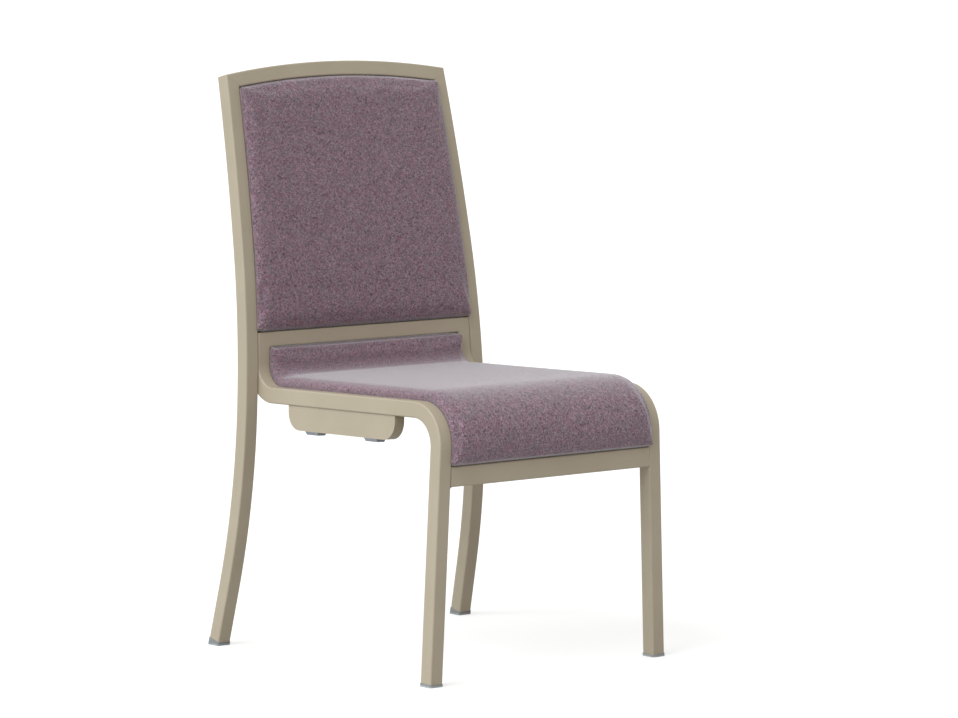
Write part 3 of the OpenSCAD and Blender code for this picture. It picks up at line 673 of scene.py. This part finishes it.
tray_rear, tray_front = -0.0113, 0.0012   # off the post's centre line
tray_depth, tray_wall = 0.0092, 0.003
bm = back_outline(inset=0.0002)
raise_face(bm, tray_rear, tray_front)
fronts = [f for f in bm.faces if f.normal.z > 0.9 or f.normal.z < -0.9]
front = max(fronts, key=lambda f: f.calc_center_median().z)
bmesh.ops.inset_region(bm, faces=[front], thickness=tray_wall, depth=0.0)
lift_faces(bm, [front], -tray_depth)
bmesh.ops.delete(bm, geom=[front], context="FACES_ONLY")
rear_rim = [e for e in bm.edges if all(v.co.z < tray_rear + 0.0001 for v in e.verts) and len(e.link_faces) == 2]
round_edges(bm, rear_rim, radius=0.003, steps=4)
rear_panel = keep("rear_panel", bm)
form(rear_panel.data, post_route, post_start, back_half, back_floor_half)
rear_panel.data.materials.append(mauve_cloth)
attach(rear_panel, "root")
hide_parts("back_rear_panel")


# ---- Floor, light and camera ----
# A plain pale studio floor, a broad soft light from the upper left and white all round. The camera stands
# low to the front and left with a long lens.

floor_paint = cloudy("pale floor", (0.50, 0.50, 0.50), (0.49, 0.49, 0.49), gloss=0.8, spread=0.02,
                     peel_scale=200.0, peel_depth=0.00001, cloud_scale=0.5, specular=0.1)
bm = bmesh.new()
bmesh.ops.create_grid(bm, x_segments=1, y_segments=1, size=60.0)
floor = keep("floor", bm)
floor.data.materials.append(floor_paint)
# seen directly, the floor glows, so that it runs into the white behind
floor_tree = floor_paint.node_tree
floor_shader = floor_tree.nodes["Principled BSDF"]
floor_shader.inputs["Emission Color"].default_value = (1, 1, 1, 1)
straight_view = put(floor_tree, "LightPath").outputs["Is Camera Ray"]
glow = maths(floor_tree, "MULTIPLY", straight_view, 0.58)
floor_tree.links.new(glow, floor_shader.inputs["Emission Strength"])


def broad_light(name, towards, spread, strength, tint):
    """An even light over the whole studio, as from a large soft panel far off."""
    lamp = bpy.data.lights.new(name, "SUN")
    lamp.angle = radians(spread)
    lamp.energy = strength
    lamp.color = tint
    stand = bpy.data.objects.new(name, lamp)
    stand.location = Vector(towards) * -3.0
    stand.rotation_euler = Vector(towards).to_track_quat("-Z", "Y").to_euler()
    bpy.context.scene.collection.objects.link(stand)


broad_light("upper left panel", towards=(0.42, 0.02, -0.38), spread=50, strength=2.23, tint=(0.89, 0.985, 1.03))

world = bpy.data.worlds.new("white studio")
world.use_nodes = True
sky = world.node_tree
background = sky.nodes["Background"]
# bright on the left and dimmer on the right
across = put(sky, "SeparateXYZ", {"Vector": put(sky, "TexCoord").outputs["Generated"]}).outputs["X"]
rightness = maths(sky, "ADD", maths(sky, "MULTIPLY", across, 0.5), 0.5)
walls = ramp(sky, rightness, [(0.0, (0.985, 0.985, 0.965)), (1.0, (0.50, 0.485, 0.465))])
sky.links.new(walls, background.inputs["Color"])
background.inputs["Strength"].default_value = 1.09
bpy.context.scene.world = world
bpy.context.scene.view_settings.view_transform = "Standard"

turned, raised = radians(-38.86), radians(5.91)
stand_off = 7.15679                       # from the camera to the plane it aims at
focal = 4599.23 / 958                     # focal length, in widths of the view
backward = Vector((sin(turned) * cos(raised), -cos(turned) * cos(raised), sin(raised)))
rightward = Vector((cos(turned), sin(turned), 0))
upward = backward.cross(rightward)
aim = rightward * -0.0003038 + upward * 0.4640 - Vector((0, 0.100875, 0))
lens = bpy.data.cameras.new("camera")
lens.sensor_width = 36.0
lens.lens = focal * lens.sensor_width
lens.clip_end = 200.0
camera = bpy.data.objects.new("camera", lens)
camera.matrix_world = Matrix((
    (rightward.x, upward.x, backward.x, 0), (rightward.y, upward.y, backward.y, 0),
    (rightward.z, upward.z, backward.z, 0), (0, 0, 0, 1)))
camera.location = aim + backward * stand_off
bpy.context.scene.collection.objects.link(camera)
bpy.context.scene.camera = camera
